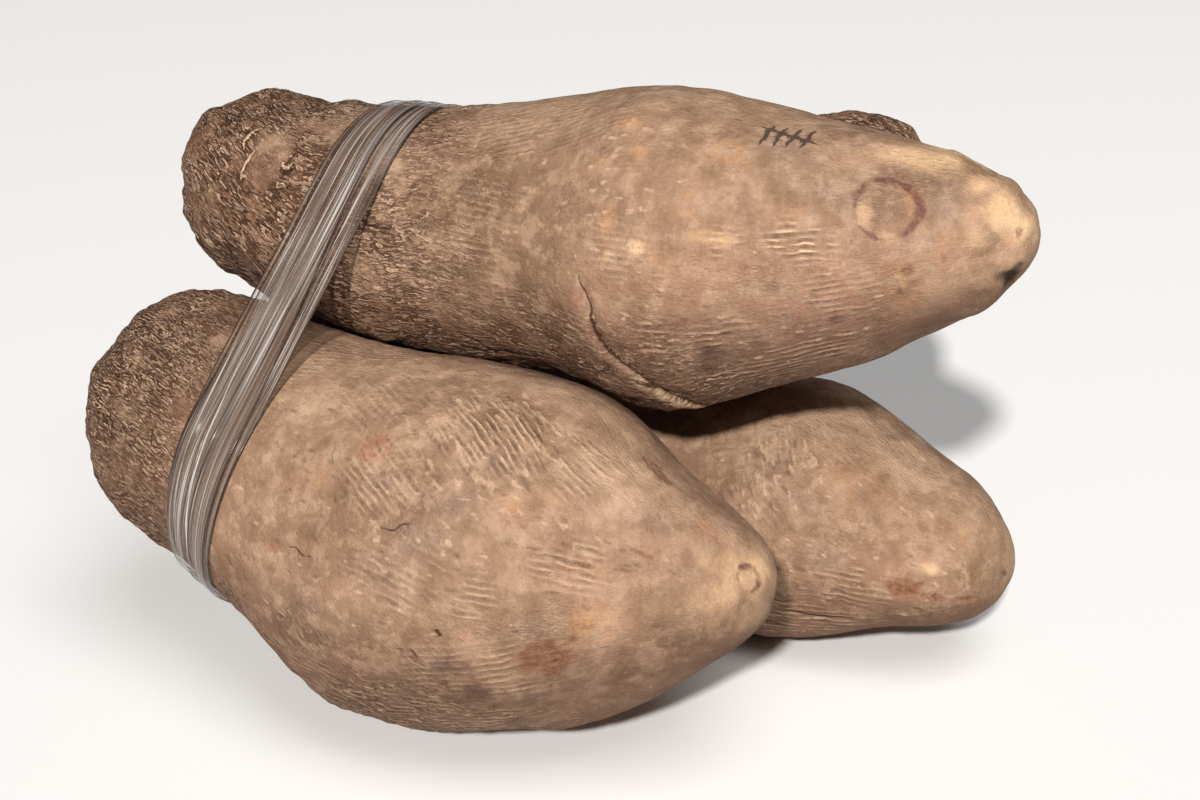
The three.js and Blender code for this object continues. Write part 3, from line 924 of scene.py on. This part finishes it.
def yam_skin():
    """Dusty corky bark: fine grain, a net of crests at the crown, ridges, patches, scars and cracks, with
    painted shade in clefts, troughs, the notch and on the undersides.
    """
    n = Nodes("yam_skin")
    place = n.object_place()
    patch = n.noise(place, 24, 3, 0.55)
    blotch = n.noise(place, 60, 3, 0.6)
    flake = n.noise(place, 105, 4, 0.62)
    mottle = n.noise(place, 170, 4, 0.65)
    speck = n.noise(place, 480, 2, 0.6)
    grit = n.noise(place, 1300, 3, 0.65)
    rough, bare, rows = (n.attribute(label) for label in ("rough", "bare", "rows"))
    harsh = n.steps(rough, 0.05, 0.8, 0.4, 1.3)
    coarse = n.math("SUBTRACT", rough, n.times(bare, 0.7), clamp=True)
    coarse = n.times(coarse, n.steps(blotch, 0.25, 0.5, 0.5, 1))
    grain, crest, cleft = bark_grain(n, place, coarse)

    dust = n.plus(n.plus(n.swing(patch, 1.0), n.swing(blotch, 0.6)), n.times(rough, -0.6))
    rust = n.plus(n.attribute("rust"), n.plus(n.swing(mottle, 0.5), n.swing(blotch, 0.3)))
    cream = n.plus(n.attribute("cream"), n.plus(n.swing(mottle, 0.8), n.swing(blotch, 0.8)))
    cream = n.steps(cream, 0.2, 0.9)
    # Painted shade, darker towards the undersides, unevenly
    under = n.times(n.attribute("under"), n.steps(blotch, 0.2, 0.7, 0.7, 1))
    # Each coat is how much of it shows and its colour, and lies over the ones before it
    coats = [
        (n.steps(rough, 0.3, 1, 0, 0.75), ROUGH),
        (n.times(bare, 0.8), BARE),
        (n.times(rough, n.steps(blotch, 0.52, 0.66, 0, 0.45)), OCHRE),
        (n.times(rough, n.steps(blotch, 0.46, 0.34, 0, 0.4)), WINE),
    ]
    for tint, colour, most in (("olive", OLIVE, 1), ("dust", DUSTY, 0.8), ("grey", GREY, 1)):
        coats.append((n.times(n.attribute(tint), n.steps(blotch, 0.3, 0.6, 0.4 * most, most)), colour))
    for tint, colour in (("pink", PINK), ("warm", WARM)):
        coats.append((n.times(n.attribute(tint), n.steps(mottle, 0.35, 0.6)), colour))
    coats += [
        (n.steps(rust, 0.28, 0.55, 0, 0.75), RUST),
        (n.steps(flake, 0.51, 0.60, 0, 0.26), DUSTY),
        (n.steps(flake, 0.48, 0.38, 0, 0.34), BARK),
        # Painted shade in hollows of the rough bark
        (n.times(rough, n.steps(flake, 0.48, 0.34, 0, 0.25)), VALLEY_SHADE),
        (cream, CREAM),
        (n.times(cream, n.steps(blotch, 0.45, 0.65, 0, 0.5)), PALE),
        (n.times(cream, n.steps(flake, 0.55, 0.70, 0, 0.5)), PINK),
        (n.steps(mottle, 0.5, 0.75, 0, 0.50), BARK),
        (n.steps(mottle, 0.5, 0.25, 0, 0.40), CREST),
        # Painted shade on the undersides
        (n.steps(under, 0, 1, 0, 0.74), UNDERSIDE_SHADE),
        (n.times(harsh, n.steps(speck, 0.6, 0.75, 0, 0.45)), EARTH),
        (n.times(harsh, n.steps(speck, 0.38, 0.25, 0, 0.5)), CREST),
    ]

    wave = n.plus(n.math("SINE", n.attribute("phase")), n.plus(n.swing(mottle, 1.2), n.swing(speck, 1.8)))
    loose = n.math("SUBTRACT", 1.0, n.times(rows, 0.5))
    flecks = n.plus(n.attribute("flecks"), n.swing(grit, 0.9))
    chips = n.plus(n.attribute("chips"), n.plus(n.swing(grit, 0.6), n.swing(speck, 1.2)))
    crests = n.mix(n.attribute("pale"), CREST, PALE)
    rim = n.plus(n.line("rim"), n.swing(speck, 0.5))
    wander = n.swing(mottle, 4.0)
    ring = n.steps(n.plus(n.attribute("ring"), wander), 1.1, -0.5)
    ring = n.times(ring, n.steps(speck, 0.3, 0.6, 0.45, 0.95))
    scar = n.steps(n.plus(n.attribute("scar"), wander), 1.0, -1.0)
    scar = n.times(scar, n.steps(speck, 0.3, 0.65, 0.3, 0.75))
    dark = n.plus(n.attribute("mauve"), n.plus(n.swing(mottle, 0.9), n.swing(blotch, 0.5)))
    notch = n.plus(n.attribute("notch"), n.plus(n.swing(mottle, 0.3), n.swing(speck, 0.3)))
    coats += [
        # Painted shade in the grain's low places, the clefts, the ridges' troughs, the sunken flecks and
        # beside the crown's curls
        (n.times(n.steps(grain, -0.05, -0.55, 0, 0.45), loose), VALLEY_SHADE),
        (n.times(n.steps(grain, 0.05, 0.55, 0, 0.3), loose), CREST),
        (n.times(cleft, 0.9), VALLEY_SHADE),
        (n.times(crest, 0.9), CREST),
        (n.times(rows, n.steps(wave, -0.4, -1.2, 0, 0.55)), VALLEY_SHADE),
        (n.times(rows, n.steps(wave, 0.3, 1.0, 0, 0.65)), crests),
        (n.steps(flecks, 0.4, -0.4, 0, 0.4), VALLEY_SHADE),
        (n.steps(chips, 0.35, -0.4, 0, 0.5), crests),
        (n.steps(n.away(rim, 0.6), 0.4, 0.15, 0, 0.5), VALLEY_SHADE),
        (n.steps(rim, 0.3, 0.0, 0, 0.9), PALE),
        (n.times(n.attribute("lip"), n.steps(mottle, 0.3, 0.6, 0.1, 0.6)), PALE),
        (scar, SCAR),
        (n.times(ring, n.steps(cream, 0.3, 1, 1, 0.5)), RING),
        (n.steps(n.plus(n.line("ink"), n.swing(grit, 1.0)), 0.3, -0.2, 0, 0.85), INK),
        (n.steps(dark, 0.2, 0.8, 0, 0.75), MAUVE),
        # Painted shade in the notch under the nub
        (n.steps(notch, 0.15, 0.75, 0, 0.95), NOTCH_SHADE),
        (n.steps(n.plus(n.line("crack"), n.swing(grit, 0.6)), 0.35, -0.15, 0, 0.9), CRACK),
        (n.times(harsh, n.steps(grit, 0.45, 0.75, 0.0, 0.3)), EARTH),
        (n.times(harsh, n.steps(grit, 0.5, 0.25, 0.0, 0.2)), CREST),
    ]
    skin = n.mix(n.steps(dust, -0.5, 0.1), BARK, TAN)
    for amount, colour in coats:
        skin = n.mix(amount, skin, colour)

    relief = n.plus(n.times(grain, 0.9), n.times(harsh, n.plus(n.swing(grit, 0.25), n.swing(speck, 0.6))))
    relief = n.plus(relief, n.plus(n.swing(mottle, 1.2), n.steps(chips, 0.5, -0.5, 0, 0.25)))
    relief = n.plus(relief, n.steps(flecks, 0.7, -0.5, 0, -0.4))
    relief = n.plus(relief, n.times(rows, n.steps(wave, -1.2, 0.8, 0, 0.5)))
    bump = n.add("Bump", Height=relief, Distance=0.001, Strength=1.0)
    return n.finish(Base_Color=skin, Roughness=n.steps(grit, 0, 1, 0.82, 0.98), Specular_IOR_Level=0.2,
                    Normal=bump.outputs[0])


class Loop:
    """The taut course of the film round the yams."""

    def __init__(self):
        self.level = np.array((0, 1, 0))
        self.rise = np.cross(FILM_OUT, self.level)
        self.centre = np.array(FILM["through"], float)
        self.turns = np.linspace(0, 2 * math.pi, FILM_STEPS + 1)
        offsets = np.linspace(-0.5, 0.5, FILM_LEVELS)
        self.reaches = np.array([self.reach_of(self.taut(offset)) for offset in offsets])

    def taut(self, offset):
        """Corners of the band's tight outline, in the plane at a share of its width along the yams."""
        corners = []
        share, turn = np.meshgrid(np.linspace(0, 1, 200), np.linspace(0, 2 * math.pi, 180), indexing="ij")
        for yam in YAMS.values():
            points = skin_points(yam, share, turn) - self.centre
            height = points @ FILM_OUT - offset * FILM["width"]
            crossing = height[:-1] * height[1:] <= 0
            before, after = points[:-1][crossing], points[1:][crossing]
            low, high = height[:-1][crossing], height[1:][crossing]
            cut = before + (low / (low - high))[:, None] * (after - before)
            corners += np.stack([cut @ self.level, cut @ self.rise], 1).tolist()
        return np.array([corners[k] for k in geometry.convex_hull_2d([Vector(c) for c in corners])])

    def reach_of(self, outline):
        """Distance from the centre to the outline in each direction."""
        start, step = outline, np.roll(outline, -1, 0) - outline
        way = np.stack([np.cos(self.turns), np.sin(self.turns)], 1)
        across = way[:, None, 0] * step[None, :, 1] - way[:, None, 1] * step[None, :, 0]
        far = (start[:, 0] * step[:, 1] - start[:, 1] * step[:, 0]) / across
        share = (start[None, :, 0] * way[:, None, 1] - start[None, :, 1] * way[:, None, 0]) / across
        hit = (far > 0) & (share >= -1e-9) & (share <= 1 + 1e-9)
        return np.where(hit, far, 0).max(1)

    def half_width(self, turn):
        away = turned_from(turn, FILM["pinch_at"]) / math.radians(FILM["pinch_reach"])
        return (FILM["width"] - FILM["pinch"] * np.exp(-(away**2))) / 2

    def points(self, step, offset, lift):
        """Points of the film at steps round the loop, offsets along the yams and heights over them."""
        place = np.clip(0.5 + offset / FILM["width"], 0, 1) * (FILM_LEVELS - 1)
        low = np.minimum(place.astype(int), FILM_LEVELS - 2)
        rest = place - low
        reach = self.reaches[low, step] * (1 - rest) + self.reaches[low + 1, step] * rest + FILM["gap"] + lift
        turn = self.turns[step]
        return (self.centre + offset[:, None] * FILM_OUT + (reach * np.cos(turn))[:, None] * self.level
                + (reach * np.sin(turn))[:, None] * self.rise)


def film_turn(name, loop, edges, lift, pleats, glint_lines):
    """One turn of film: a sheet wrapped round the loop, its ends joined, with long pleats.

    edges: the two edges as shares of the half width at each turn.
    pleats: (share across, wander, waves round the loop, half width in mm, height in mm).
    glint_lines: lines of painted glint, (share across at the start and at the end, turns there, half width in
    mm).
    """
    mesh = grid_mesh(name, FILM_STEPS, FILM_LINES)
    flat = (places_of(mesh) + 1) / 2
    step = np.round(flat[:, 0] * FILM_STEPS).astype(int) % FILM_STEPS
    turn = loop.turns[step]
    half = loop.half_width(turn)
    low, high = edges(turn)
    share = low + flat[:, 1] * (high - low)
    height, pleat = np.full(len(turn), float(lift)), np.zeros(len(turn))
    for at, wander, waves, half_wide, tall in pleats:
        line = at + wander * np.sin(waves * turn + 7 * at)
        swell = 0.55 + 0.45 * np.sin((waves + 1) * turn + 20 * at)
        bulge = np.exp(-(((share - line) * half / half_wide) ** 2)) * swell
        height += tall * bulge
        pleat = np.maximum(pleat, bulge)
    # Lines of painted glint, strongest midway along each
    painted_glint = np.zeros(len(turn))
    for at, then, start, end, half_wide in glint_lines:
        on = np.clip((np.degrees(turn) - start) / (end - start), 0, 1)
        away = (share - at - on * (then - at)) * half / half_wide
        painted_glint = np.maximum(painted_glint, np.exp(-(away**2)) * np.sin(math.pi * on) ** 0.5)
    points = (loop.points(step, share * half, height) - ORIGIN) * MM
    mesh.vertices.foreach_set("co", points.ravel())
    # The streaks follow a plain ring, and lie elsewhere on each turn
    lay = np.stack([60 * np.cos(turn), 60 * np.sin(turn), share * half + 40 * lift], 1)
    rim = np.minimum(share - low, high - share) * half
    clear = np.exp(-((turned_from(turn, FILM["clear_at"]) / math.radians(FILM["clear_reach"])) ** 2))
    for label, values in dict(lay=lay, pleat=pleat, painted_glint=painted_glint, rim=rim, clear=clear).items():
        keep(mesh, label, values)
    return mesh


def full_width(turn):
    """Edges of the first turn, as shares of the half width."""
    return -1, 1


def narrowed(turn):
    """Edges of the second turn, which wander round the loop."""
    return -0.86 + 0.08 * np.sin(turn), 0.55 + 0.25 * np.sin(2 * turn + 1)


def stretch_film():
    """The tie: a full-width turn of film and a narrower one drawn over it, as one roped band."""
    loop = Loop()
    inner = [(0.97, 0.01, 2, 0.5, 0.35), (0.62, 0.05, 3, 0.7, 0.35), (0.3, 0.07, 2, 0.5, 0.3),
             (0.05, 0.08, 3, 0.8, 0.4), (-0.25, 0.07, 2, 0.5, 0.3), (-0.55, 0.06, 3, 0.6, 0.5),
             (-0.97, 0.01, 2, 0.6, 0.4)]
    outer = [(0.35, 0.08, 2, 0.5, 0.35), (0.0, 0.08, 3, 0.5, 0.4), (-0.2, 0.07, 2, 0.6, 0.45),
             (-0.45, 0.06, 3, 0.5, 0.5), (-0.66, 0.05, 2, 0.4, 0.5)]
    outer_glint_lines = [(-0.74, -0.56, 160, 202, 0.32), (-0.38, 0.17, 164, 210, 0.34),
                     (-0.3, 0.05, 178, 200, 0.2)]
    glint_lines = [(-0.7, -0.6, 60, 110, 0.3), (0.1, 0.2, 100, 150, 0.3)]
    turns = [
        film_turn("inner", loop, full_width, 0, inner, glint_lines),
        film_turn("outer", loop, narrowed, SECOND_TURN_LIFT, outer, outer_glint_lines + glint_lines),
    ]
    both = bmesh.new()
    for mesh in turns:
        both.from_mesh(mesh)
    bmesh.ops.remove_doubles(both, verts=both.verts, dist=TINY / 10)
    bmesh.ops.recalc_face_normals(both, faces=both.faces)
    mesh = bpy.data.meshes.new("stretch_film")
    both.to_mesh(mesh)
    both.free()
    for used in turns:
        bpy.data.meshes.remove(used)
    mesh.shade_smooth()
    piece = shown("stretch_film", mesh)
    wall = piece.modifiers.new("wall", "SOLIDIFY")
    wall.thickness = FILM_WALL * MM
    wall.offset = 1
    return piece


def film_finish():
    """Clear glossy film, greyish where layers lie over each other, with painted glints along a few lines and
    painted shade at its edges; a little more opaque along its pleats.
    """
    n = Nodes("stretch_film")
    lay = n.attribute("lay", "Vector")
    pleat = n.attribute("pleat")
    broad = n.noise(n.stretched(lay, 70, 70, 3.4), 1, 2, 0.6)
    thin = n.noise(n.stretched(lay, 36, 36, 0.9), 1, 2, 0.6)
    hair = n.noise(n.stretched(lay, 30, 30, 0.45), 1, 1, 0.5)
    rim = n.steps(n.attribute("rim"), 1.1, 0.2)
    painted_glint = n.times(n.attribute("painted_glint"), n.steps(thin, 0.3, 0.55, 0.5, 1))
    colour = n.mix(n.steps(thin, 0.38, 0.6), shade(78, 56, 45), shade(148, 125, 108))
    colour = n.mix(n.steps(hair, 0.56, 0.70, 0, 0.85), colour, shade(220, 212, 206))
    colour = n.mix(n.steps(broad, 0.52, 0.70, 0, 0.6), colour, shade(204, 196, 190))
    # Painted shade along the band's edges
    colour = n.mix(n.times(rim, 0.9), colour, shade(50, 33, 27))
    # Painted glints: white lines that stand in for the shine of the light on the film
    colour = n.mix(n.steps(painted_glint, 0.25, 0.8, 0, 0.9), colour, shade(226, 223, 223))
    alpha = n.plus(n.steps(broad, 0.35, 0.65, 0.14, 0.40), n.steps(hair, 0.55, 0.68, 0, 0.3))
    alpha = n.plus(alpha, n.plus(n.times(pleat, 0.12), n.plus(n.times(rim, 0.5), n.times(painted_glint, 0.45))))
    alpha = n.times(alpha, n.steps(n.attribute("clear"), 0, 1, 1, 0.55))
    edge_on = n.add("LayerWeight", Blend=0.5).outputs["Facing"]
    alpha = n.math("ADD", alpha, n.steps(edge_on, 0.8, 1.0, 0, 0.4), clamp=True)
    bump = n.add("Bump", Height=n.plus(thin, n.times(broad, 2)), Distance=0.0006, Strength=0.5)
    return n.finish(Base_Color=colour, Roughness=0.18, IOR=1.5, Specular_IOR_Level=0.5, Alpha=alpha,
                    Normal=bump.outputs[0])


def floor():
    """A plain pale floor."""
    piece = shown("floor", grid_mesh("floor", 1, 1, FLOOR_HALF))
    n = Nodes("floor")
    piece.data.materials.append(n.finish(Base_Color=(0.95, 0.95, 0.95, 1), Roughness=0.9))


def aimed(thing, place, target):
    thing.location = place
    thing.rotation_euler = (Vector(target) - Vector(place)).to_track_quat("-Z", "Y").to_euler()


def from_angles(azimuth, elevation, distance, target):
    """A place round a target: azimuth 0 is in front, and grows to the right."""
    round_by, up_by = math.radians(azimuth), math.radians(elevation)
    level = math.cos(up_by)
    way = Vector((math.sin(round_by) * level, -math.cos(round_by) * level, math.sin(up_by)))
    return Vector(target) + distance * way


def lamp(kind, name, azimuth, elevation, distance, target, power, tint):
    data = bpy.data.lights.new(name, kind)
    data.energy = power
    data.color = tint
    aimed(shown(name, data), from_angles(azimuth, elevation, distance, target), target)
    return data


def studio():
    """Camera at the photograph's angle, a key light high on the left of it and a soft fill on the right."""
    target = Vector((np.array(AIM) - ORIGIN) * MM)
    camera = shown("camera", bpy.data.cameras.new("camera"))
    camera.data.lens = LENS
    camera.data.sensor_width = SENSOR
    aimed(camera, from_angles(*VIEW, target), target)
    bpy.context.scene.camera = camera
    key = lamp("SUN", "key", azimuth=14, elevation=35, distance=4.0, target=target, power=3.4,
               tint=(1, 0.97, 0.93))
    key.angle = math.radians(3)
    fill = lamp("AREA", "fill", azimuth=50, elevation=62, distance=3.5, target=target, power=56,
                tint=(1, 0.99, 0.98))
    fill.size = 2.0
    world = bpy.data.worlds.new("studio")
    world.use_nodes = True
    colour, strength = world.node_tree.nodes["Background"].inputs[:2]
    colour.default_value = (1, 1, 1, 1)
    strength.default_value = 0.05
    bpy.context.scene.world = world
    bpy.context.scene.view_settings.view_transform = "Standard"


studio()
floor()
skin_material = yam_skin()
for yam_seed, yam_name in enumerate(YAMS):
    yam_object = yam_piece(yam_name, 10 * yam_seed)
    yam_object.data.materials.append(skin_material)
    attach(yam_object, "root")
    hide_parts(yam_name)
film_object = stretch_film()
film_object.data.materials.append(film_finish())
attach(film_object, "root")
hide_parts("film_band")
